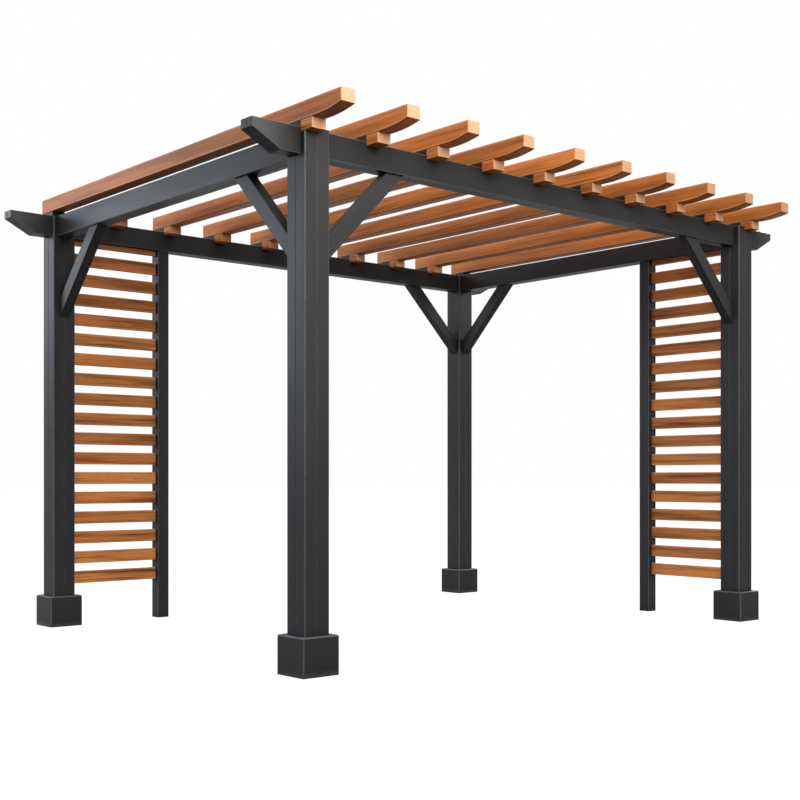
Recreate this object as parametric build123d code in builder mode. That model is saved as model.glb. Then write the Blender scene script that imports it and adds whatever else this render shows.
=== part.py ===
"""Open wooden pergola: a dark painted timber frame under natural wood rafters.

X runs along the two long beams, Y along the rafters and Z up. The origin is on the
ground, under the middle of the roof. The rafters reach further past the posts at the
front than at the back, so the posts stand a little behind the origin.
"""

import os
from math import sqrt

from build123d import *

os.makedirs("parts", exist_ok=True)

# Layout of the frame, in millimetres
post_spacing_x = 3220.0
post_spacing_y = 2420.0
headroom = 2250.0

# Posts: square timber with an open seam down each face
post_width = 133.0
post_chamfer = 4.0
seam_width = 4.0
seam_depth = 4.0

# Plinths boxed round the feet of the posts
plinth_width = 198.0
plinth_height = 175.0
plinth_corner_radius = 12.0
plinth_top_bevel = 8.0
plinth_clearance = 0.3

# Beams: two plies side by side, with raked tails on the long pair, which lie in slots
# between an outer and an inner leaf at the head of each post
beam_height = 116.0
beam_thickness = 88.0
beam_edge = 2.5
outer_leaf = 30.0
tail_length = 250.0
tail_flat = 105.0
tail_end_height = 40.0

# Knee braces at 45 degrees, mitred to post and beam
brace_reach = 465.0
brace_depth = 70.0
brace_thickness = 58.0

# Packers that lift the rafters off the beams
packer_height = 28.0

# Rafters with a scooped underside at the front end and a square back end
rafter_count = 10
rafter_width = 76.0
rafter_height = 80.0
front_overhang = 250.0
back_overhang = 20.0
rafter_arris = 4.0
scoop_length = 165.0
scoop_rise = 20.0

# Blocks under the rafters: one against the front beam's outer face at each rafter, and one
# against the inner face of either beam where no cross beam stands in the way
block_height = 48.0
block_projection = 80.0
block_arris = 2.0

# Slatted screens between a main post and a thin post
screen_width = 560.0
screen_post_width = 75.0
screen_post_chamfer = 3.0
slat_height = 72.0
slat_gap = 44.5
slat_thickness = 22.0
slat_arris = 2.5
lowest_slat = 237.0

# Places that follow from the sizes above
beam_top = headroom + beam_height
rafter_underside = beam_top + packer_height
roof_shift = (front_overhang - back_overhang) / 2
beam_line = (post_spacing_y + post_width - beam_thickness) / 2 - outer_leaf
cross_line = post_spacing_x / 2
post_inner_x = (post_spacing_x - post_width) / 2
post_inner_y = (post_spacing_y - post_width) / 2
beam_reach = (post_spacing_x + post_width) / 2 + tail_length
roof_reach = (post_spacing_y + post_width + front_overhang + back_overhang) / 2
outer_rafter_line = (post_spacing_x + post_width - rafter_width) / 2
rafter_pitch = 2 * outer_rafter_line / (rafter_count - 1)
rafter_lines = [i * rafter_pitch - outer_rafter_line for i in range(rafter_count)]
outer_block_line = beam_line + (beam_thickness + block_projection) / 2
inner_block_line = beam_line - (beam_thickness + block_projection) / 2
block_underside = rafter_underside - block_height
brace_mitre = brace_depth * sqrt(2)

STANDING = (Align.CENTER, Align.CENTER, Align.MIN)
CORNERS = {
    "front_left": (-1, -1),
    "front_right": (1, -1),
    "back_left": (-1, 1),
    "back_right": (1, 1),
}


def save(piece, name):
    """Label a finished piece and write it as a STEP file of its own."""
    piece.part.label = name
    export_step(piece.part, f"parts/{name}.step")


def row_y(side_y, distance):
    """Y at a distance from the middle of the posts, to the front (-1) or the back (1)."""
    return roof_shift + side_y * distance


def block_places(lines, side_y, distance):
    """Feet of a row of blocks at a distance to the front or the back of the middle."""
    return [(x, row_y(side_y, distance), block_underside) for x in lines]


def make_post(name, side_x, side_y):
    """Square post with a slot across its head for the beam, and a housing for its block."""
    middle_x = side_x * post_spacing_x / 2
    middle_y = row_y(side_y, post_spacing_y / 2)
    face = post_width / 2
    with BuildPart() as post:
        with BuildSketch(Plane((middle_x, middle_y, 0))) as section:
            Rectangle(post_width, post_width)
            chamfer(section.vertices(), length=post_chamfer)
            with Locations((face, 0), (-face, 0)):
                Rectangle(2 * seam_depth, seam_width, mode=Mode.SUBTRACT)
            with Locations((0, face), (0, -face)):
                Rectangle(seam_width, 2 * seam_depth, mode=Mode.SUBTRACT)
        extrude(amount=beam_top)
        with Locations((middle_x, row_y(side_y, beam_line), headroom)):
            Box(2 * post_width, beam_thickness, 2 * beam_height, align=STANDING, mode=Mode.SUBTRACT)
        with Locations(*block_places(rafter_lines, -1, outer_block_line)):
            Box(rafter_width, block_projection, block_height, align=STANDING, mode=Mode.SUBTRACT)
    save(post, f"{name}_post")


def make_plinth(name, side_x, side_y):
    """Box round the foot of a post, with rounded corners and a bevelled top."""
    middle = Plane((side_x * post_spacing_x / 2, row_y(side_y, post_spacing_y / 2), 0))
    hole = post_width + 2 * plinth_clearance
    with BuildPart() as plinth:
        with BuildSketch(middle) as outline:
            Rectangle(plinth_width, plinth_width)
            fillet(outline.vertices(), radius=plinth_corner_radius)
        extrude(amount=plinth_height)
        chamfer(plinth.faces().sort_by(Axis.Z)[-1].edges(), length=plinth_top_bevel)
        with BuildSketch(middle):
            Rectangle(hole, hole)
        extrude(amount=plinth_height, mode=Mode.SUBTRACT)
    save(plinth, f"{name}_plinth")


def make_beam(name, line):
    """Long two-ply beam whose tails are cut away underneath by a rake."""
    rake_foot = (post_spacing_x + post_width) / 2 + tail_flat
    outline = [
        (-beam_reach, beam_top),
        (-beam_reach, beam_top - tail_end_height),
        (-rake_foot, headroom),
        (rake_foot, headroom),
        (beam_reach, beam_top - tail_end_height),
        (beam_reach, beam_top),
    ]
    upright = Plane.XZ.offset(-line)
    with BuildPart() as beam:
        with BuildSketch(upright):
            with BuildLine():
                Polyline(*outline, close=True)
            make_face()
        extrude(amount=beam_thickness / 2, both=True)
        chamfer(beam.edges().filter_by(Axis.Y, reverse=True), length=beam_edge)
        with BuildSketch(upright):
            with BuildLine():
                Polyline(*outline, close=True)
            make_face()
            offset(amount=-seam_depth, mode=Mode.SUBTRACT)
        extrude(amount=seam_width / 2, both=True, mode=Mode.SUBTRACT)
    save(beam, name)


def make_cross_beam(name, line):
    """Two-ply beam from post to post."""
    with BuildPart() as beam:
        with Locations((line, roof_shift, headroom)):
            Box(beam_thickness, 2 * post_inner_y, beam_height, align=STANDING)
        chamfer(beam.edges().filter_by(Axis.Y), length=beam_edge)
        with BuildSketch(Plane.XZ.offset(-row_y(1, post_inner_y))):
            with Locations((line, headroom), (line, beam_top)):
                Rectangle(seam_width, 2 * seam_depth)
        extrude(amount=2 * post_inner_y, mode=Mode.SUBTRACT)
    save(beam, name)


def make_brace(name, upright):
    """Knee brace from a post's face at local X 0 out along the beam's underside."""
    outline = [
        (0, headroom - brace_reach),
        (brace_reach, headroom),
        (brace_reach - brace_mitre, headroom),
        (0, headroom - brace_reach + brace_mitre),
    ]
    with BuildPart() as brace:
        with BuildSketch(upright):
            with BuildLine():
                Polyline(*outline, close=True)
            make_face()
        extrude(amount=brace_thickness / 2, both=True)
        with BuildSketch(upright):
            with BuildLine():
                Polyline(*outline, close=True)
            make_face()
            offset(amount=-seam_depth, mode=Mode.SUBTRACT)
        extrude(amount=seam_width / 2, both=True, mode=Mode.SUBTRACT)
    save(brace, name)


def make_rafter(name, line):
    """Rafter along Y, its underside swept up to the front end by an arc tangent to it."""
    front = (-roof_reach, rafter_underside + scoop_rise)
    top = rafter_underside + rafter_height
    with BuildPart() as rafter:
        with BuildSketch(Plane.YZ.offset(line)):
            with BuildLine():
                flat = Line(
                    (roof_reach, rafter_underside), (scoop_length - roof_reach, rafter_underside)
                )
                scoop = TangentArc(flat @ 1, front, tangent=flat % 1)
                Polyline(scoop @ 1, (-roof_reach, top), (roof_reach, top), flat @ 0)
            make_face()
        extrude(amount=rafter_width / 2, both=True)
        sides = rafter.faces().filter_by(Axis.X)
        fillet(sides.edges().filter_by(Axis.Z, reverse=True), radius=rafter_arris)
    save(rafter, name)


def make_packers(name, side_y):
    """Row of packers on a beam, one under each rafter."""
    with BuildPart() as packers:
        with Locations(*[(x, row_y(side_y, beam_line), beam_top) for x in rafter_lines]):
            Box(rafter_width, beam_thickness, packer_height, align=STANDING)
    save(packers, name)


def make_blocks(name, lines, side_y, distance):
    """Row of wood blocks against one face of a beam, one under each rafter named."""
    with BuildPart() as blocks:
        with Locations(*block_places(lines, side_y, distance)):
            Box(rafter_width, block_projection, block_height, align=STANDING)
        chamfer(blocks.edges().filter_by(Axis.Y), length=block_arris)
    save(blocks, name)


def make_screen_post(name, place):
    """Thin square post that stands on the ground and stops under the beam."""
    with BuildPart() as post:
        with BuildSketch(Plane((*place, 0))) as section:
            Rectangle(screen_post_width, screen_post_width)
            chamfer(section.vertices(), length=screen_post_chamfer)
        extrude(amount=headroom)
    save(post, name)


def make_slats(name, end_plane):
    """Horizontal slats, the top one ripped down to the space left under the beam."""
    pitch = slat_height + slat_gap
    whole = int((headroom - lowest_slat - slat_height) // pitch) + 1
    with BuildPart() as slats:
        with BuildSketch(end_plane):
            for row in range(whole + 1):
                bottom = lowest_slat + row * pitch
                height = min(slat_height, headroom - bottom)
                if height > 2 * slat_arris:
                    with Locations((0, bottom + height / 2)):
                        Rectangle(slat_thickness, height)
        extrude(amount=screen_width)
        along = end_plane.z_dir
        chamfer(slats.edges().filter_by(Axis((0, 0, 0), along)), length=slat_arris)
    save(slats, name)


for corner, (side_x, side_y) in CORNERS.items():
    make_post(corner, side_x, side_y)
    make_plinth(corner, side_x, side_y)

make_beam("front_beam", row_y(-1, beam_line))
make_beam("back_beam", row_y(1, beam_line))
make_cross_beam("left_cross_beam", -cross_line)
make_cross_beam("right_cross_beam", cross_line)

# Each brace plane starts on a post's inner face, with local X running along the beam
front_start = row_y(-1, post_inner_y)
back_start = row_y(1, post_inner_y)
BRACES = {
    "front_brace_left": ((-post_inner_x, row_y(-1, beam_line), 0), (1, 0, 0)),
    "front_brace_right": ((post_inner_x, row_y(-1, beam_line), 0), (-1, 0, 0)),
    "left_brace_front": ((-cross_line, front_start, 0), (0, 1, 0)),
    "left_brace_back": ((-cross_line, back_start, 0), (0, -1, 0)),
    "back_brace_right": ((post_inner_x, row_y(1, beam_line), 0), (-1, 0, 0)),
    "right_brace_back": ((cross_line, back_start, 0), (0, -1, 0)),
}
for name, (start, along) in BRACES.items():
    across = Vector(*along).cross(Vector(0, 0, 1))
    make_brace(name, Plane(origin=start, x_dir=along, z_dir=across))

for number, line in enumerate(rafter_lines, start=1):
    make_rafter(f"rafter_{number:02d}", line)

make_blocks("front_outer_blocks", rafter_lines, -1, outer_block_line)
for side, side_y in {"front": -1, "back": 1}.items():
    make_packers(f"{side}_packers", side_y)
    make_blocks(f"{side}_inner_blocks", rafter_lines[1:-1], side_y, inner_block_line)

# The back screen starts at the back left post, the right screen at the front right post
screen_offset = screen_width + screen_post_width / 2
back_line = row_y(1, beam_line)
make_screen_post("back_screen_post", (screen_offset - post_inner_x, back_line))
make_screen_post("right_screen_post", (cross_line, front_start + screen_offset))
back_end = Plane(origin=(-post_inner_x, back_line, 0), x_dir=(0, 1, 0), z_dir=(1, 0, 0))
right_end = Plane(origin=(cross_line, front_start, 0), x_dir=(-1, 0, 0), z_dir=(0, 1, 0))
make_slats("back_screen_slats", back_end)
make_slats("right_screen_slats", right_end)
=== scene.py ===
"""Open wooden pergola: boards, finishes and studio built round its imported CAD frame."""

from math import pi, radians, sqrt

import bpy
import numpy as np
from bpy.props import FloatProperty, FloatVectorProperty, PointerProperty
from mathutils import Euler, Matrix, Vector


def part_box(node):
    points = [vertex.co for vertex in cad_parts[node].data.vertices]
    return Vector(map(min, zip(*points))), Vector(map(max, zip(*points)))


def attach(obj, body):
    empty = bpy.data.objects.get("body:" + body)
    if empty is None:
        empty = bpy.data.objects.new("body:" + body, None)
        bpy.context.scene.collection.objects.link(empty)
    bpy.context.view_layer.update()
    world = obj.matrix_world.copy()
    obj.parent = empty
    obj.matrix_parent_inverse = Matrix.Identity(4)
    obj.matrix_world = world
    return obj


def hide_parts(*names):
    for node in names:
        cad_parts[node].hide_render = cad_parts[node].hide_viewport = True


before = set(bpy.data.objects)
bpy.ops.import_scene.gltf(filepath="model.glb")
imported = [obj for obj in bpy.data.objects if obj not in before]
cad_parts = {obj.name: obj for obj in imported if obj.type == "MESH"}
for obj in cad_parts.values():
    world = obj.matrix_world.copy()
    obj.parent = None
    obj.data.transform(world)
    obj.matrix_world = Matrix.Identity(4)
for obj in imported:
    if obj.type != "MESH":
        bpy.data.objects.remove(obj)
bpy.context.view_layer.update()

bl_info = {
    "name": "Open Wooden Pergola",
    "version": (1, 0, 0),
    "blender": (4, 5, 0),
    "location": "3D View > Sidebar > Pergola",
    "description": "Builds the boards, finishes and studio of an open pergola on its CAD frame",
    "category": "Object",
}

# Pieces of the frame, by name
RAFTERS = [f"rafter_{number:02d}" for number in range(1, 11)]
BLOCK_ROWS = {
    "front_outer_blocks": RAFTERS,
    "front_inner_blocks": RAFTERS[1:-1],
    "back_inner_blocks": RAFTERS[1:-1],
}
PLINTHS = ["front_left_plinth", "front_right_plinth", "back_left_plinth", "back_right_plinth"]
UPRIGHTS = [
    "front_left_post", "front_right_post", "back_left_post", "back_right_post",
    "back_screen_post", "right_screen_post",
]

# Directions, and the one in which the grain of each painted timber runs
UP = (0.0, 0.0, 1.0)
ALONG_BEAM = (1.0, 0.0, 0.0)
ALONG_RAFTER = (0.0, 1.0, 0.0)
HALF = sqrt(0.5)
TIMBER_GRAIN = {
    **{name: UP for name in UPRIGHTS},
    **{name: ALONG_BEAM for name in ("front_beam", "back_beam", "front_packers", "back_packers")},
    **{name: ALONG_RAFTER for name in ("left_cross_beam", "right_cross_beam")},
    "front_brace_left": (HALF, 0.0, HALF),
    "front_brace_right": (-HALF, 0.0, HALF),
    "back_brace_right": (-HALF, 0.0, HALF),
    "left_brace_front": (0.0, HALF, HALF),
    "left_brace_back": (0.0, -HALF, HALF),
    "right_brace_back": (0.0, -HALF, HALF),
}

# Boards: the flat strip beside each rounded arris, the radius that is left where one runs
# out, and the seeds of each kind's random draws
BAND = 0.006
HAIR = 0.0003
RAFTER_SEED = 11
BLOCK_SEED, SEEDS_A_ROW = 101, 20
SLAT_SEED, SEEDS_A_SCREEN = 301, 50

# Stain: how much darker late wood comes out on boards and slats; and painted shade: how pale
# the coat is on the first rafter and, from its lowest slat to its top one, on each screen
BOARD_CONTRAST, SLAT_CONTRAST = 0.78, 1.15
FIRST_RAFTER_SHADE = 0.78
SCREENS = (
    ("back_screen_slats", ALONG_BEAM, (1.33, 0.82)),
    ("right_screen_slats", ALONG_RAFTER, (0.95, 0.70)),
)

# Paint: reach of the painted highlight towards the tails, and distances over which seams and posts end
TAIL_HIGHLIGHT = 0.25
SEAM_SIDE = (0.0024, 0.0032)
POST_SIDE = (0.07, 0.08)

# Light: two tints of the lamps, the surroundings, and the rays that see them as plain white
WARM = (1.0, 0.99, 0.97)
COOL = (0.80, 0.88, 1.0)
SKY = (0.94, 0.97, 1.0, 1.0)
WHITE = (1.0, 1.0, 1.0, 1.0)
RAYS_IN_VIEW = ("Is Camera Ray", "Is Glossy Ray", "Is Transmission Ray")

# Lamps: name, place, aim, width and height, watts and colour
LAMPS = (
    ("top_front_lamp", (-0.3, -3.6, 6.4), (0.0, -0.6, 2.2), (3.0, 3.0), 60.0, WARM),
    ("front_lamp", (-1.2, -3.9, 3.9), (-0.8, -0.9, 1.7), (2.6, 1.4), 105.0, WARM),
    ("near_lamp", (-2.3, -3.3, 2.8), (-1.6, -1.1, 1.9), (1.2, 1.0), 64.0, WARM),
    ("front_right_lamp", (2.6, -4.3, 2.8), (1.0, -0.8, 1.6), (2.6, 1.4), 55.0, WARM),
    ("right_lamp", (5.2, 0.4, 3.6), (0.8, 0.2, 1.6), (3.0, 1.4), 340.0, WARM),
    ("back_lamp", (0.8, 5.6, 3.8), (0.4, 0.8, 1.6), (3.0, 1.4), 230.0, COOL),
    ("left_back_lamp", (-4.6, 4.2, 2.8), (-0.8, 0.3, 1.5), (3.0, 1.4), 245.0, COOL),
    ("left_lamp", (-5.0, 0.7, 1.9), (-0.8, 0.3, 1.2), (3.0, 1.4), 42.0, COOL),
)

# Floor: lines of points each way
FLOOR_LINES = 9

# Sockets of a colour Mix node, which share their names with the hidden ones of other types
MIX_SHARE, MIX_LOW, MIX_HIGH, MIX_RESULT = 0, 6, 7, 2


# Settings


class BoardSettings(bpy.types.PropertyGroup):
    arris: FloatProperty(
        name="Arris", description="Radius worn on the long edges of a rafter",
        default=0.0055, min=0.001, max=0.02, unit="LENGTH",
    )
    block_arris: FloatProperty(
        name="Block arris", description="Radius on the edges of a block",
        default=0.003, min=0.0005, max=0.01, unit="LENGTH",
    )
    slat_arris: FloatProperty(
        name="Slat arris", description="Radius on the edges of a screen slat",
        default=0.003, min=0.0005, max=0.01, unit="LENGTH",
    )
    scoop_length: FloatProperty(
        name="Scoop length", description="Length of the swept underside at a rafter's front end",
        default=0.165, min=0.0, unit="LENGTH",
    )
    scoop_rise: FloatProperty(
        name="Scoop rise", description="Height of the sweep at the rafter's very end",
        default=0.020, min=0.001, unit="LENGTH",
    )
    slat_height: FloatProperty(
        name="Slat height", description="Height of a whole slat",
        default=0.072, min=0.01, unit="LENGTH",
    )
    slat_gap: FloatProperty(
        name="Slat gap", description="Open space between two slats",
        default=0.0445, min=0.0, unit="LENGTH",
    )
    waver: FloatProperty(
        name="Waver", description="How far a planed face strays from flat",
        default=0.0004, min=0.0, max=0.003, unit="LENGTH",
    )


class WoodSettings(bpy.types.PropertyGroup):
    early: FloatVectorProperty(
        name="Early wood", description="Stain over the soft, pale part of a growth ring",
        default=(0.62, 0.206, 0.042), subtype="COLOR", min=0.0, max=1.0,
    )
    ruddy: FloatVectorProperty(
        name="Ruddy wood", description="Soft part of a ring on the redder boards",
        default=(0.545, 0.163, 0.032), subtype="COLOR", min=0.0, max=1.0,
    )
    late: FloatVectorProperty(
        name="Late wood", description="Stain over the hard, dark part of a growth ring",
        default=(0.108, 0.030, 0.007), subtype="COLOR", min=0.0, max=1.0,
    )
    slat_early: FloatVectorProperty(
        name="Slat early wood", description="Pale part of a ring on the deeper stained slats",
        default=(0.69, 0.250, 0.068), subtype="COLOR", min=0.0, max=1.0,
    )
    slat_ruddy: FloatVectorProperty(
        name="Slat ruddy wood", description="Pale part of a ring on the redder slats",
        default=(0.62, 0.200, 0.050), subtype="COLOR", min=0.0, max=1.0,
    )
    slat_late: FloatVectorProperty(
        name="Slat late wood", description="Dark part of a ring on the deeper stained slats",
        default=(0.100, 0.026, 0.007), subtype="COLOR", min=0.0, max=1.0,
    )
    end_cut: FloatVectorProperty(
        name="End cut", description="Stain on sawn end grain",
        default=(0.61, 0.330, 0.178), subtype="COLOR", min=0.0, max=1.0,
    )
    knot: FloatVectorProperty(
        name="Knot", description="Heart of a knot",
        default=(0.050, 0.016, 0.008), subtype="COLOR", min=0.0, max=1.0,
    )
    sheen: FloatProperty(
        name="Wood sheen", description="Specular level of the oiled stain",
        default=0.09, min=0.0, max=1.0, subtype="FACTOR",
    )
    ring_spacing: FloatProperty(
        name="Ring spacing", description="Distance between two growth rings",
        default=0.0052, min=0.001, unit="LENGTH",
    )


class PaintSettings(bpy.types.PropertyGroup):
    coat: FloatVectorProperty(
        name="Coat", description="Charcoal paint on the frame",
        default=(0.0295, 0.0292, 0.0292), subtype="COLOR", min=0.0, max=1.0,
    )
    # Paler paint on edges and chamfers: partly wear, partly a painted highlight
    rubbed_and_highlit: FloatVectorProperty(
        name="Rubbed edge", description="Paint where the edges are rubbed thin",
        default=(0.150, 0.152, 0.156), subtype="COLOR", min=0.0, max=1.0,
    )
    # Dust on faces that look up; the same colour paints a highlight towards the beam tails and painted
    # light in the post seams
    dust: FloatVectorProperty(
        name="Dust", description="Dust on faces that look up",
        default=(0.120, 0.116, 0.112), subtype="COLOR", min=0.0, max=1.0,
    )
    sheen: FloatProperty(
        name="Sheen", description="Specular level of the satin paint",
        default=0.06, min=0.0, max=1.0, subtype="FACTOR",
    )
    # Painted shade: the paint is darkened near joints, where shade falls
    nook_shade_reach: FloatProperty(
        name="Nook reach", description="How far from a joint the paint is darker with grime",
        default=0.16, min=0.01, unit="LENGTH",
    )
    edge_radius: FloatProperty(
        name="Edge radius", description="Width of the rubbed band on each edge",
        default=0.005, min=0.0005, unit="LENGTH",
    )


class StageSettings(bpy.types.PropertyGroup):
    lens: FloatProperty(
        name="Lens", description="Focal length over a 36 mm wide picture",
        default=55.925, min=10.0, unit="CAMERA",
    )
    stand: FloatVectorProperty(
        name="Stand", description="Place of the camera",
        default=(-4.8518, -5.4459, 0.8557), subtype="TRANSLATION", unit="LENGTH",
    )
    heading: FloatProperty(
        name="Heading", description="Level direction of view, turned from +X towards +Y",
        default=radians(49.082), subtype="ANGLE",
    )
    rise: FloatProperty(
        name="Rise", description="Shift that sets the horizon below the middle",
        default=0.0974,
    )
    floor_size: FloatProperty(
        name="Floor size", description="Side of the pale floor",
        default=160.0, min=10.0, unit="LENGTH",
    )
    ambient: FloatProperty(
        name="Ambient", description="Strength of the soft light from all round",
        default=0.30, min=0.0,
    )


# Shader expressions


class Wire:
    """A socket that is written into formulas; each operation on numbers adds a Math node."""

    def __init__(self, sheet, socket):
        self.sheet, self.socket = sheet, socket

    def _math(self, operation, *values):
        return self.sheet.node("Math", {"operation": operation}, dict(enumerate(values)))

    def __add__(self, other):
        return self._math("ADD", self, other)

    def __sub__(self, other):
        return self._math("SUBTRACT", self, other)

    def __rsub__(self, other):
        return self._math("SUBTRACT", other, self)

    def __mul__(self, other):
        return self._math("MULTIPLY", self, other)

    def __truediv__(self, other):
        return self._math("DIVIDE", self, other)

    def __rtruediv__(self, other):
        return self._math("DIVIDE", other, self)

    def __pow__(self, other):
        return self._math("POWER", self, other)

    def __rpow__(self, other):
        return self._math("POWER", other, self)

    def __abs__(self):
        return self._math("ABSOLUTE", self)

    __radd__ = __add__
    __rmul__ = __mul__

    def fraction(self):
        return self._math("FRACT", self)

    def smaller(self, other):
        return self._math("MINIMUM", self, other)

    def larger(self, other):
        return self._math("MAXIMUM", self, other)

    def step(self, low, high):
        """0 below low, 1 above high and a smooth S between them."""
        return self.sheet.node(
            "MapRange", {"interpolation_type": "SMOOTHSTEP"},
            {"Value": self, "From Min": low, "From Max": high},
        )


class Sheet:
    """The node tree of one material or world, written node by node."""

    def __init__(self, name, owner=None):
        self.owner = owner or bpy.data.materials.new(name)
        self.owner.use_nodes = True
        self.tree = self.owner.node_tree
        self.tree.nodes.clear()

    def node(self, kind, settings=None, sockets=None, output=0):
        """Adds a node, applies its settings, fills its sockets and returns one output."""
        node = self.tree.nodes.new("ShaderNode" + kind)
        for key, value in (settings or {}).items():
            setattr(node, key, value)
        for key, value in (sockets or {}).items():
            if isinstance(value, Wire):
                self.tree.links.new(value.socket, node.inputs[key])
            else:
                node.inputs[key].default_value = value
        return Wire(self, node.outputs[output])

    def colours(self, low, high, share):
        """Mix of two colours, given as tuples or wires, by a share from 0 to 1."""
        low, high = ((*c, 1.0) if isinstance(c, tuple) else c for c in (low, high))
        sockets = {MIX_SHARE: share, MIX_LOW: low, MIX_HIGH: high}
        return self.node("Mix", {"data_type": "RGBA"}, sockets, MIX_RESULT)

    def vector(self, operation, *values, output="Vector"):
        return self.node("VectorMath", {"operation": operation}, dict(enumerate(values)), output)

    def dot(self, one, other):
        return self.vector("DOT_PRODUCT", one, other, output="Value")

    def scaled(self, vector, factor):
        return self.node("VectorMath", {"operation": "SCALE"}, {0: vector, "Scale": factor})

    def join(self, x, y, z):
        return self.node("CombineXYZ", sockets={0: x, 1: y, 2: z})

    def parts(self, vector):
        return [self.node("SeparateXYZ", sockets={0: vector}, output=axis) for axis in "XYZ"]

    def noise(self, vector, scale=1.0, detail=2.0, roughness=0.5):
        sockets = {"Vector": vector, "Scale": scale, "Detail": detail, "Roughness": roughness}
        return self.node("TexNoise", sockets=sockets)

    def attribute(self, name, output="Fac"):
        return self.node("Attribute", {"attribute_name": name}, output=output)

    def in_view(self):
        """1 for the rays that reach the picture: from the camera, a reflection or glass."""
        camera, glossy, clear = (self.node("LightPath", output=ray) for ray in RAYS_IN_VIEW)
        return camera.larger(glossy).larger(clear)

    def coat(self, colour, rough, sheen, bump):
        """Finishes a material as a dull coat, from its colour, roughness and bump sockets."""
        sockets = {
            "Base Color": colour, "Roughness": rough, "Specular IOR Level": sheen,
            "Normal": self.node("Bump", sockets=bump),
        }
        return self.surface(self.node("BsdfPrincipled", sockets=sockets))

    def surface(self, shader, target="OutputMaterial"):
        """Plugs the finished shader in and returns the material or world."""
        last = self.tree.nodes.new("ShaderNode" + target)
        self.tree.links.new(shader.socket, last.inputs["Surface"])
        return self.owner


def wood_finish(name, look, early, ruddy, late_tone, contrast):
    """Stained softwood as a solid: growth rings round each board's own pith, fibres, knots.

    The attribute "grain" holds the place along the board and from its pith in metres, "board"
    a number from 0 to 1 for each board, "tone" how pale its stain is, which carries painted shade
    on the first rafter and the upper slats, and "edge" and "end" are 1 on arrises and on sawn ends.
    Contrast is how much darker the late wood comes out.
    """
    page = Sheet(name)
    along, across, rise = page.parts(page.attribute("grain", "Vector"))
    seed = page.attribute("board")
    edge = page.attribute("edge")
    end = page.attribute("end")
    shift = seed * 53.0

    def figure(length, girth, detail=2.0, roughness=0.5):
        """Noise with so many waves a metre along the board and round it."""
        place = page.join(along * length + shift, across * girth, rise * girth)
        return page.noise(place, 1.0, detail, roughness)

    # Knots: one cell in three has one, long along the board
    cells = page.join(along * 1.3 + shift, across * 6.0 + shift, rise * 6.0)
    cell = {"Vector": cells, "Scale": 1.0}
    knot_far = page.node("TexVoronoi", sockets=cell, output="Distance")
    cell_colour = page.node("TexVoronoi", sockets=cell, output="Color")
    with_knot = page.parts(cell_colour)[0].step(0.66, 0.67)
    swirl = (1.0 - knot_far.step(0.02, 0.30)) * with_knot
    knot = (1.0 - knot_far.step(0.030, 0.060)) * with_knot

    # Rings: distance from the pith, bent by slow noise and by the knots, dark towards its end
    distance = (across * across + rise * rise) ** 0.5
    slow_bend, quick_bend = (figure(1.1, 3.0) - 0.5) * 0.055, (figure(5.0, 22.0) - 0.5) * 0.006
    distance = distance + slow_bend + quick_bend + swirl * 0.010
    ring = (distance / look.ring_spacing).fraction()
    late = ring.step(0.25, 0.9) * (1.0 - ring.step(0.93, 1.0))

    # Fibres, pores and fine cracks run with the board, streaks and heartwood are broader
    fibre = figure(9.0, 620.0, 3.0, 0.6)
    streak = figure(2.6, 120.0, 3.0, 0.65)
    heart = figure(1.5, 32.0, 3.0, 0.55)
    band = figure(0.8, 12.0)
    pores = 1.0 - fibre.step(0.30, 0.42)
    crack = 1.0 - abs(figure(0.7, 37.0, 1.0) - 0.5).step(0.0015, 0.006)
    crack = crack * band.step(0.58, 0.68)

    # Colour: the stain by ring and streak, then sawn ends, arrises paler as wear and painted highlight,
    # painted shade on undersides, and knots
    dark = late * 0.26 + streak.step(0.44, 0.70) * 0.36 + heart.step(0.46, 0.68) * 0.44 + pores * 0.18
    warm = page.colours(tuple(early), tuple(ruddy), (seed * 7.3).fraction())
    colour = page.colours(warm, tuple(late_tone), (dark * contrast).smaller(1.0))
    # The tone attribute scales the stain: a draw of each board's own, and painted shade on the first
    # rafter and the upper slats
    colour = page.scaled(colour, (0.70 + band.step(0.3, 0.7) * 0.34) * page.attribute("tone"))
    ends = page.colours(tuple(look.end_cut), tuple(late_tone), late * 0.38 + pores * 0.10)
    colour = page.colours(colour, ends, end)
    under = 1.0 - page.parts(page.node("NewGeometry", output="Normal"))[2].step(-0.75, -0.1)
    # Arrises away from undersides are paler: partly wear, partly a painted highlight
    worn = edge * (1.0 - under) * (0.22 + fibre.step(0.35, 0.65) * 0.33)
    colour = page.colours(colour, tuple(look.end_cut), worn)
    # Painted shade: faces that look down are darker, most on their arrises
    colour = page.colours(colour, tuple(late_tone), under * (0.25 + edge * 0.35))
    colour = page.colours(colour, tuple(look.knot), (knot * 0.85).larger(crack * (1.0 - end) * 0.7))

    rough = 0.52 + (fibre - 0.5) * 0.35 - late * 0.06 + end * 0.18 - knot * 0.08
    height = late * 0.5 - pores * 0.6 + streak * 0.5 - crack * 2.0 + knot * 0.5
    return page.coat(colour, rough, look.sheen, {"Strength": 0.55, "Distance": 0.0006, "Height": height})


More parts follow.
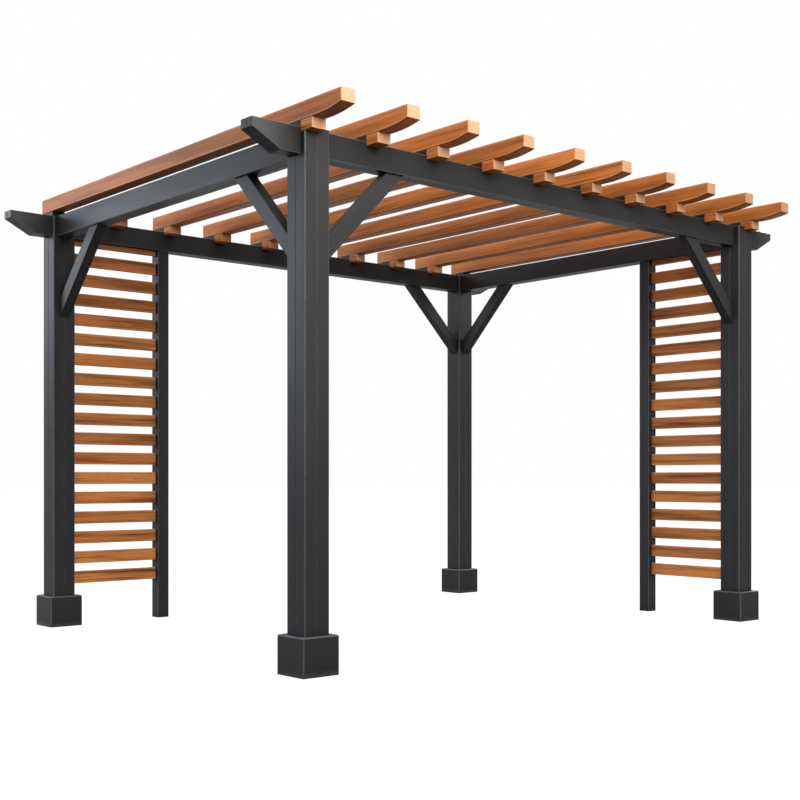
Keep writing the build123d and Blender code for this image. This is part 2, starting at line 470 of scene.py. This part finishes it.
def paint_finish(name, look, grain, edge_of_mesh=False):
    """Satin charcoal paint: grain that shows through, dust, edges paler as wear and painted highlight, a
    painted highlight towards the beam tails, painted light in the post seams and painted shade.

    Grain is the direction in which the timber runs. With edge_of_mesh the edges come from the
    attribute "edge" of an eased mesh, and otherwise from the corners and chamfers themselves.
    """
    page = Sheet(name)
    place = page.node("TexCoord", output="Object")
    normal = page.node("NewGeometry", output="True Normal")
    run = page.dot(place, grain)
    onward = page.scaled(grain, run)
    sideways = page.vector("SUBTRACT", place, onward)

    def stretched(girth, length):
        """Place with so many waves a metre across the grain and along it."""
        return page.vector("ADD", page.scaled(sideways, girth), page.scaled(onward, length))

    fibre = page.noise(stretched(260.0, 5.0), 1.0, 3.0, 0.6)
    brushed = page.noise(stretched(9.0, 1.3), 1.0, 2.0)
    cloud = page.noise(place, 1.4, 3.0)
    speck = page.noise(place, 45.0, 2.0)

    # Edges: the bevel's normal leaves the face's near a corner, a chamfer looks two ways at once
    if edge_of_mesh:
        edge = page.attribute("edge")
        soft_normal = None
    else:
        soft_normal = page.node("Bevel", {"samples": 4}, {"Radius": look.edge_radius})
        corner = 1.0 - page.dot(soft_normal, normal)
        side = ALONG_RAFTER if grain[0] else ALONG_BEAM
        rise = tuple(Vector(grain).cross(Vector(side)))
        chamfer = abs(page.dot(normal, side)) * abs(page.dot(normal, rise))
        edge = corner.step(0.04, 0.24).larger(chamfer.step(0.25, 0.45))
    # Painted highlight along edges and chamfers, in patches, partly standing for wear
    rubbed_and_highlit = edge * (0.55 + (cloud * 0.7 + speck * 0.6).step(0.45, 0.85) * 0.45)
    dust = page.parts(normal)[2].step(0.6, 0.95) * (0.35 + speck.step(0.35, 0.7) * 0.35)
    # Painted shade: the ambient occlusion node darkens the paint near joints
    painted_nook_shade = page.node("AmbientOcclusion", {"samples": 4}, {"Distance": look.nook_shade_reach}, "AO")
    painted_nook_shade = 1.0 - painted_nook_shade.step(0.25, 0.95)

    # Colour: the coat, with painted shade near joints, on faces that look down and on the front beam,
    # and a painted highlight towards the tails of the long beams
    tone = 0.74 + brushed * 0.30 + cloud * 0.22 + (fibre - 0.5) * 0.18
    # Painted shade: faces that look down come out darker
    under = 1.0 - page.parts(normal)[2].step(-0.85, -0.25)
    # Painted shade: the front beam and its packers come out darker than the back ones
    if grain is ALONG_BEAM:
        tone = tone * (0.68 + page.parts(place)[1].step(-0.5, 0.5) * 0.30)
    colour = page.scaled(tuple(look.coat), tone * (1.0 - painted_nook_shade * 0.45) * (1.0 - under * 0.5))
    # Painted highlight: the paint is paler towards the tails of the long beams, except underneath
    if grain is ALONG_BEAM:
        beam_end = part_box("front_beam")[1][0]
        tail_highlight = abs(run).step(beam_end - TAIL_HIGHLIGHT, beam_end) * (0.5 + brushed * 0.5)
        colour = page.colours(colour, tuple(look.dust), tail_highlight * (1.0 - under) * 0.48)
    colour = page.colours(colour, tuple(look.rubbed_and_highlit), rubbed_and_highlit * 0.85)
    colour = page.colours(colour, tuple(look.dust), dust * 0.35)
    # Painted light: the post seams are made paler, which lifts the shade in their grooves
    if grain is UP and not edge_of_mesh:
        colour = page.colours(colour, tuple(look.dust), post_seams(page, place) * 0.3)

    rough = 0.46 + (brushed - 0.5) * 0.16 + (fibre - 0.5) * 0.18 - rubbed_and_highlit * 0.06 + dust * 0.3
    height = fibre * 0.6 + speck * 0.25
    bump = {"Strength": 0.35, "Distance": 0.0004, "Height": height}
    if soft_normal:
        bump["Normal"] = soft_normal
    return page.coat(colour, rough, look.sheen, bump)


def centre(name):
    """Middle of the box round a piece of the frame."""
    low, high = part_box(name)
    return [(near + far) / 2 for near, far in zip(low, high)]


def post_seams(page, place):
    """1 in the open seams down the four posts: on either middle plane of a post, and near it."""
    front, back = centre("front_right_post"), centre("back_right_post")
    x, y, _ = page.parts(place)
    off_x = abs(abs(x) - front[0])
    off_y = abs(abs(y - (front[1] + back[1]) / 2) - (back[1] - front[1]) / 2)
    outside_seam = off_x.smaller(off_y).step(*SEAM_SIDE)
    outside_post = off_x.larger(off_y).step(*POST_SIDE)
    return (1.0 - outside_seam) * (1.0 - outside_post)


def floor_finish():
    """Matt floor that throws little light up; the picture shows it mostly as plain white.

    The white part glows a little more from 3 m to 9 m out, so the ground fades evenly, and
    the matt part that is left in the picture carries faint shadows.
    """
    in_light, in_picture, white_share = 0.12, 0.80, 0.84
    near_glow, more_glow = 1.11, 0.11
    page = Sheet("pale_floor")
    seen = page.in_view()
    shade = page.colours((in_light,) * 3, (in_picture,) * 3, seen)
    matt = page.node("BsdfDiffuse", sockets={"Color": shade})
    reach = page.vector("LENGTH", page.node("TexCoord", output="Object"), output="Value")
    glow = page.scaled((1.0, 1.0, 1.0), near_glow + reach.step(3.0, 9.0) * more_glow)
    white = page.node("Emission", sockets={"Color": glow, "Strength": 1.0})
    return page.surface(page.node("MixShader", sockets={0: seen * white_share, 1: matt, 2: white}))


# Surfaces


def section(band, steps=3):
    """Rounded rectangle, corner by corner and anticlockwise, as four arrays.

    Corner k has its arc's centre in the quadrant of sign (cos, sin)(45 + 90 k degrees), and
    its normals sweep the quarter turn that starts at 90 k degrees. One more point lies a band
    along the flat on either side of the arc. Returned are the signs, the normals, the offsets
    along the flats, and 1 for each point on an arc and 0 for each point beside it.
    """
    corner = np.repeat(np.arange(4), steps + 3)
    turn = np.tile(np.r_[0, np.linspace(0, 1, steps + 1), 1], 4)
    beside = np.tile(np.r_[-1, np.zeros(steps + 1), 1], 4)
    middle = (corner * 90 + 45) * pi / 180
    angle = (corner + turn) * pi / 2
    signs = np.sign(np.c_[np.cos(middle), np.sin(middle)])
    normals = np.c_[np.cos(angle), np.sin(angle)]
    tangents = np.c_[-np.sin(angle), np.cos(angle)]
    return signs, normals, beside[:, None] * band * tangents, (beside == 0).astype(float)


def grid_faces(rows, columns, rows_close=False, columns_close=True):
    """Four-cornered faces over a grid of points that are stored row after row.

    Where rows or columns close, the last one is joined to the first.
    """
    row, column = np.meshgrid(
        np.arange(rows if rows_close else rows - 1),
        np.arange(columns if columns_close else columns - 1), indexing="ij",
    )
    next_row, next_column = (row + 1) % rows, (column + 1) % columns
    corners = ((row, column), (row, next_column), (next_row, next_column), (next_row, column))
    return np.stack([up * columns + over for up, over in corners], -1).reshape(-1, 4).tolist()


def stations(span, arris, count, lift):
    """Distances along a board, with the radius of its arrises and the lean of its normals.

    They are the ring that closes an end, its eased edge as board() says, the length, and the
    same again at the far end. Along a scoop, which starts the board, they lie closer.
    """
    ease = np.linspace(0, pi / 2, 4)
    back = arris * (1 - np.cos(ease))
    inner = np.linspace(span[0] + arris + BAND, span[1] - arris - BAND, count)
    if lift:
        scoop_count, least_gap = 14, 0.01
        near = span[0] + np.linspace(arris + BAND, lift.reach, scoop_count)
        inner = np.r_[near, inner[inner > near[-1] + least_gap]]
    s = np.r_[span[0], span[0] + back, inner, span[1] - back[::-1], span[1]]
    radius = np.r_[0, arris * np.sin(ease), np.full(len(inner), arris), arris * np.sin(ease[::-1]), 0]
    lean = np.r_[-1, -np.cos(ease), 0 * inner, np.cos(ease[::-1]), 1]
    return s, np.maximum(radius, HAIR)[:, None], lean[:, None]


def board(along, span, middle, width, low, high, arris, seed, count, waver=0.0, lift=None, tone=1.0):
    """One timber: a rounded rectangle carried along a straight path, its ends eased the same.

    It runs in the direction along over the span of distances s, and its middle is measured to
    the side, which is the cross product of up and that direction. At distance s the section
    is a rounded rectangle of the board's width, from low + lift(s) to high. Over the last
    arris it shrinks by arris (1 - sin t) while s runs back from the end by arris (1 - cos t),
    which rounds the end edges, and a smaller ring closes the flat end. Every point is moved
    out along its normal by waver times a slow sum of sines. The normals underneath lean along
    the board by the slope of the lift. Each board's stain is its tone times a draw of its own;
    on the first rafter and the upper slats that tone darkens it as painted shade.
    Returned are the points, their normals, the marks for the finish and the faces.
    """
    random = np.random.default_rng(seed)
    signs, normals, beside, on_arc = section(BAND)
    s, radius, lean = stations(span, arris, count, lift)
    half_width = width / 2
    bottom = low + (lift(s - span[0]) if lift else 0 * s)
    apart = 1e-7 * np.arange(len(s))  # rings at one place, or the slope would divide by nothing
    slope = np.gradient(bottom, s + apart)[:, None]
    half_height = (high - bottom) / 2

    # Across (a) and up (b) the section, with a smaller ring at either end
    a = signs[:, 0] * (half_width - arris) + normals[:, 0] * radius + beside[:, 0]
    b = signs[:, 1] * (half_height - arris)[:, None] + normals[:, 1] * radius + beside[:, 1]
    a[[0, -1]] = a[[1, -2]] * (1 - BAND / half_width)
    b[[0, -1]] = b[[1, -2]] * (1 - BAND / half_height[0])
    b = b + (high + bottom)[:, None] / 2

    # Normals, and the waver along them
    level = np.sqrt(np.maximum(0, 1 - lean**2))
    n_a, n_b = normals[:, 0] * level, normals[:, 1] * level
    n_s = lean + np.maximum(-n_b, 0) * slope * (lean == 0)
    grid_s = np.broadcast_to(s[:, None], a.shape)
    phase = random.uniform(0, 2 * pi, 4)
    wave = np.sin(3.1 * grid_s + phase[0] + 40 * b) + np.sin(7.7 * grid_s + phase[1] + 60 * a)
    wave = wave + 0.6 * np.sin(17.0 * grid_s + phase[2]) + 0.4 * np.sin(41.0 * grid_s + phase[3])
    push = waver * wave / 3 * (1 - np.abs(n_s))
    a, b = a + n_a * push, b + n_b * push

    # On the frame, with the marks that the finish reads
    axis = np.array(along)
    side = np.cross(UP, axis)
    points = grid_s[..., None] * axis + (middle + a)[..., None] * side + b[..., None] * np.array(UP)
    outward = n_s[..., None] * axis + n_a[..., None] * side + n_b[..., None] * np.array(UP)
    pith = random.uniform((-0.06, 0.03), (0.06, 0.11)) * (1, random.choice((-1, 1)))
    grain = np.stack((grid_s + 9 * random.random(), a + pith[0], b - (low + high) / 2 + pith[1]), -1)
    edge = np.broadcast_to(on_arc, a.shape).copy()
    edge[1:4], edge[-4:-1] = 1, 1
    edge[[0, -1]] = 0
    end = np.zeros(a.shape)
    end[[0, 1, -2, -1]] = 1

    ring = np.arange(len(on_arc))
    caps = [ring[::-1].tolist(), (ring + a.size - len(ring)).tolist()]
    marks = {
        "grain": grain.reshape(-1, 3), "edge": edge.ravel(), "end": end.ravel(),
        "board": np.full(a.size, random.random()),
        "tone": np.full(a.size, tone * random.uniform(0.86, 1.14)),
    }
    return points.reshape(-1, 3), outward.reshape(-1, 3), marks, grid_faces(*a.shape) + caps


def scoop(length, rise):
    """Lift of a rafter's underside: a circle's arc that leaves the flat at a tangent.

    Through a point `length` back from the end and `rise` up at the end, its radius is
    (length^2 + rise^2) / (2 rise), and the lift at distance u into it is R - sqrt(R^2 - u^2).
    """
    radius = (length**2 + rise**2) / (2 * rise)

    def lift(distance):
        into = np.clip(length - distance, 0, length)
        return radius - np.sqrt(radius**2 - into**2)

    lift.reach = length
    return lift


def put(name, shapes, material, stands_for):
    """Joins surfaces into one mesh object with its marks and analytic normals, on the frame."""
    points = np.concatenate([shape[0] for shape in shapes])
    normals = np.concatenate([shape[1] for shape in shapes])
    starts = np.cumsum([0] + [len(shape[0]) for shape in shapes])
    faces = [[i + start for i in face] for shape, start in zip(shapes, starts) for face in shape[3]]
    mesh = bpy.data.meshes.new(name)
    mesh.from_pydata(points.tolist(), [], faces)
    for key in shapes[0][2]:
        values = np.concatenate([shape[2][key] for shape in shapes])
        kind = ("FLOAT_VECTOR", "vector") if values.ndim == 2 else ("FLOAT", "value")
        mesh.attributes.new(key, kind[0], "POINT").data.foreach_set(
            kind[1], values.astype(np.float32).ravel()
        )
    mesh.polygons.foreach_set("use_smooth", np.ones(len(mesh.polygons), bool))
    mesh.normals_split_custom_set_from_vertices(normals.tolist())
    mesh.materials.append(material)
    piece = bpy.data.objects.new(name, mesh)
    bpy.context.scene.collection.objects.link(piece)
    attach(piece, "root")
    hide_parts(stands_for)


def plinth(name, post_half, corner=0.012, bevel=0.009, toe=0.002, lip=0.001, strip=0.008, hair=0.0004):
    """Boxed foot: an upright profile carried round a rounded square and closed on itself.

    The profile runs from a small toe up the wall, over a quarter-round bevel and a small lip,
    down inside against the post and back under the foot. At inset d the square's half side is
    H - d and its corner radius the larger of corner - d and a hair, so the walls stay parallel.
    """
    low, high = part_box(name)
    half = (high[0] - low[0]) / 2
    top = high[2]
    deep = half - post_half
    t = np.linspace(0, pi / 2, 6)
    arc_in, arc_up = bevel * (1 - np.cos(t)), top - bevel * (1 - np.sin(t))

    # Each point has its inset, height, edge mark and the outward and upward parts of its normal; the
    # edge mark paints a highlight along the top bevel and a fainter one at the toe
    profile = np.array([
        (toe, 0, 0, 0.7, -0.7),
        (0, toe, 0.3, 1, 0),
        (0, 0.03, 0, 1, 0),
        (0, top - bevel - strip, 0, 1, 0),
        *zip(arc_in, arc_up, np.sin(2 * t) ** 4, np.cos(t), np.sin(t)),
        (bevel + 0.006, top, 0, 0, 1),
        (deep - lip / 2, top, 0, -0.7, 0.7),
        (deep, top - lip, 0, -1, 0),
        (deep, top - 0.02, 0, -1, 0),
        (deep, 0, 0, -0.7, -0.7),
        (2 * toe, 0, 0, 0, -1),
    ])
    inset, height, edge, n_out, n_up = profile.T
    signs, normals, beside, on_arc = section(strip, 5)
    radius = np.maximum(corner - inset, hair)[:, None]
    flat = (half - inset)[:, None] - radius
    x = signs[:, 0] * flat + normals[:, 0] * radius + beside[:, 0]
    y = signs[:, 1] * flat + normals[:, 1] * radius + beside[:, 1]
    middle_x, middle_y, _ = centre(name)
    z = np.broadcast_to(height[:, None], x.shape)
    points = np.stack((x + middle_x, y + middle_y, z), -1)
    level = normals[None] * n_out[:, None, None]
    outward = np.concatenate((level, np.broadcast_to(n_up[:, None, None], (*x.shape, 1))), -1)
    outward = outward / np.linalg.norm(outward, axis=-1, keepdims=True)
    # Painted highlight: a thin line down the middle of each rounded corner
    corner_highlight = np.where(on_arc > 0, np.sin(2 * np.arctan2(normals[:, 1], normals[:, 0])) ** 4, 0)
    marks = {"edge": np.maximum(edge[:, None], corner_highlight * (height[:, None] > toe)).ravel()}
    return points.reshape(-1, 3), outward.reshape(-1, 3), marks, grid_faces(*x.shape, rows_close=True)


# Operators


def board_wood(scene):
    """The one wood finish that the rafters and blocks share."""
    look = scene.pergola_wood
    made = bpy.data.materials.get("stained_softwood")
    stains = look.early, look.ruddy, look.late
    return made or wood_finish("stained_softwood", look, *stains, BOARD_CONTRAST)


class PERGOLA_OT_timbers(bpy.types.Operator):
    """Paint the posts, beams, braces and packers of the frame"""

    bl_idname = "pergola.timbers"
    bl_label = "Painted Timbers"

    def execute(self, context):
        look = context.scene.pergola_paint
        finishes = {}
        for name, grain in TIMBER_GRAIN.items():
            if grain not in finishes:
                finishes[grain] = paint_finish(f"charcoal_paint_{len(finishes) + 1}", look, grain)
            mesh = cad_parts[name].data
            mesh.materials.clear()
            mesh.materials.append(finishes[grain])
        return {"FINISHED"}


class PERGOLA_OT_plinths(bpy.types.Operator):
    """Build the boxed plinths round the feet of the posts"""

    bl_idname = "pergola.plinths"
    bl_label = "Plinths"

    def execute(self, context):
        finish = paint_finish("charcoal_plinth", context.scene.pergola_paint, UP, True)
        post_low, post_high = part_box("front_left_post")
        for name in PLINTHS:
            shape = plinth(name, (post_high[0] - post_low[0]) / 2)
            put(f"{name}_shell", [shape], finish, name)
        return {"FINISHED"}


class PERGOLA_OT_rafters(bpy.types.Operator):
    """Build the ten rafters with their scooped front ends"""

    bl_idname = "pergola.rafters"
    bl_label = "Rafters"

    def execute(self, context):
        sizes = context.scene.pergola_boards
        finish = board_wood(context.scene)
        lift = scoop(sizes.scoop_length, sizes.scoop_rise)
        for number, name in enumerate(RAFTERS):
            low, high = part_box(name)
            shape = board(
                ALONG_RAFTER, (low[1], high[1]), -centre(name)[0], high[0] - low[0], low[2], high[2],
                sizes.arris, RAFTER_SEED + number, count=60, waver=sizes.waver, lift=lift,
                # Painted shade: the first rafter's stain comes out darker
                tone=1.0 if number else FIRST_RAFTER_SHADE,
            )
            put(f"{name}_board", [shape], finish, name)
        return {"FINISHED"}


class PERGOLA_OT_blocks(bpy.types.Operator):
    """Build the blocks against the beams, one under each rafter"""

    bl_idname = "pergola.blocks"
    bl_label = "Rafter Blocks"

    def execute(self, context):
        sizes = context.scene.pergola_boards
        finish = board_wood(context.scene)
        for row, (name, rafters) in enumerate(BLOCK_ROWS.items()):
            low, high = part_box(name)
            shapes = []
            for number, rafter in enumerate(rafters):
                left, right = (corner[0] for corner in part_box(rafter))
                shapes.append(board(
                    ALONG_RAFTER, (low[1], high[1]), -(left + right) / 2, right - left, low[2], high[2],
                    sizes.block_arris, BLOCK_SEED + SEEDS_A_ROW * row + number, count=4,
                ))
            put(f"{name}_eased", shapes, finish, name)
        return {"FINISHED"}


class PERGOLA_OT_slats(bpy.types.Operator):
    """Build the horizontal slats of the two corner screens"""

    bl_idname = "pergola.slats"
    bl_label = "Screen Slats"

    def execute(self, context):
        sizes = context.scene.pergola_boards
        look = context.scene.pergola_wood
        stains = look.slat_early, look.slat_ruddy, look.slat_late
        finish = wood_finish("deep_softwood", look, *stains, SLAT_CONTRAST)
        pitch, thinnest = sizes.slat_height + sizes.slat_gap, 0.01
        for place, (name, axis, painted_shades) in enumerate(SCREENS):
            low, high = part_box(name)
            run, side, sign = (0, 1, 1) if axis is ALONG_BEAM else (1, 0, -1)
            shapes = []
            for number, foot in enumerate(np.arange(low[2], high[2] - thinnest, pitch)):
                shapes.append(board(
                    axis, (low[run], high[run]), sign * centre(name)[side], high[side] - low[side],
                    foot, min(foot + sizes.slat_height, high[2]), sizes.slat_arris,
                    SLAT_SEED + SEEDS_A_SCREEN * place + number, count=12, waver=sizes.waver,
                    # Painted shade: each screen's slats are darker the higher they stand
                    tone=np.interp(foot, (low[2], high[2]), painted_shades),
                ))
            put(f"{name}_eased", shapes, finish, name)
        return {"FINISHED"}


class PERGOLA_OT_stage(bpy.types.Operator):
    """Lay the pale floor and set the soft lamps, the surroundings and the camera"""

    bl_idname = "pergola.stage"
    bl_label = "Stage"

    def add_surroundings(self, scene, look):
        """The world is a soft pale light, and plain white where the picture sees it."""
        world = bpy.data.worlds.new("studio")
        scene.world = world
        page = Sheet("studio", world)
        around = page.node("Background", sockets={"Color": SKY, "Strength": look.ambient})
        white = page.node("Background", sockets={"Color": WHITE, "Strength": 1.0})
        mixed = page.node("MixShader", sockets={0: page.in_view(), 1: around, 2: white})
        page.surface(mixed, "OutputWorld")

    def add_lamp(self, scene, name, place, aim, size, power, colour):
        data = bpy.data.lights.new(name, "AREA")
        data.shape, data.energy, data.color = "RECTANGLE", power, colour
        data.size, data.size_y = size
        lamp = bpy.data.objects.new(name, data)
        scene.collection.objects.link(lamp)
        lamp.location = place
        lamp.visible_camera = False
        lamp.rotation_euler = (Vector(aim) - Vector(place)).to_track_quat("-Z", "Y").to_euler()

    def add_floor(self, scene, look):
        half = look.floor_size / 2
        steps = np.linspace(-half, half, FLOOR_LINES)
        x, y = np.meshgrid(steps, steps)
        points = np.stack((x, y, 0 * x), -1).reshape(-1, 3)
        mesh = bpy.data.meshes.new("floor")
        mesh.from_pydata(points.tolist(), [], grid_faces(*x.shape, columns_close=False))
        mesh.materials.append(floor_finish())
        floor = bpy.data.objects.new("floor", mesh)
        scene.collection.objects.link(floor)

    def add_camera(self, scene, look):
        """A level camera, so that uprights stay upright, with its picture shifted instead."""
        data = bpy.data.cameras.new("camera")
        data.sensor_width, data.lens, data.shift_y = 36.0, look.lens, look.rise
        camera = bpy.data.objects.new("camera", data)
        camera.location = look.stand
        camera.rotation_euler = Euler((pi / 2, 0.0, look.heading - pi / 2))
        scene.collection.objects.link(camera)
        scene.camera = camera

    def execute(self, context):
        scene, look = context.scene, context.scene.pergola_stage
        scene.view_settings.view_transform = "Standard"
        self.add_surroundings(scene, look)
        for lamp in LAMPS:
            self.add_lamp(scene, *lamp)
        self.add_floor(scene, look)
        self.add_camera(scene, look)
        return {"FINISHED"}


class PERGOLA_PT_sidebar(bpy.types.Panel):
    """Sizes, colours and build steps of the pergola"""

    bl_idname = "PERGOLA_PT_sidebar"
    bl_label = "Pergola"
    bl_space_type = "VIEW_3D"
    bl_region_type = "UI"
    bl_category = "Pergola"

    def draw(self, context):
        for name, group in SETTINGS.items():
            box = self.layout.box()
            box.label(text=name.split("_")[1].title())
            for key in group.__annotations__:
                box.prop(getattr(context.scene, name), key)
        for operator in OPERATORS:
            self.layout.operator(operator.bl_idname)


SETTINGS = {
    "pergola_boards": BoardSettings,
    "pergola_wood": WoodSettings,
    "pergola_paint": PaintSettings,
    "pergola_stage": StageSettings,
}
OPERATORS = (
    PERGOLA_OT_timbers,
    PERGOLA_OT_plinths,
    PERGOLA_OT_rafters,
    PERGOLA_OT_blocks,
    PERGOLA_OT_slats,
    PERGOLA_OT_stage,
)


def register():
    for cls in (*SETTINGS.values(), *OPERATORS, PERGOLA_PT_sidebar):
        bpy.utils.register_class(cls)
    for name, group in SETTINGS.items():
        setattr(bpy.types.Scene, name, PointerProperty(type=group))


def unregister():
    for name in SETTINGS:
        delattr(bpy.types.Scene, name)
    for cls in reversed((*SETTINGS.values(), *OPERATORS, PERGOLA_PT_sidebar)):
        bpy.utils.unregister_class(cls)


def main():
    register()
    for operator in OPERATORS:
        group, name = operator.bl_idname.split(".")
        getattr(getattr(bpy.ops, group), name)()


if __name__ == "__main__":
    main()
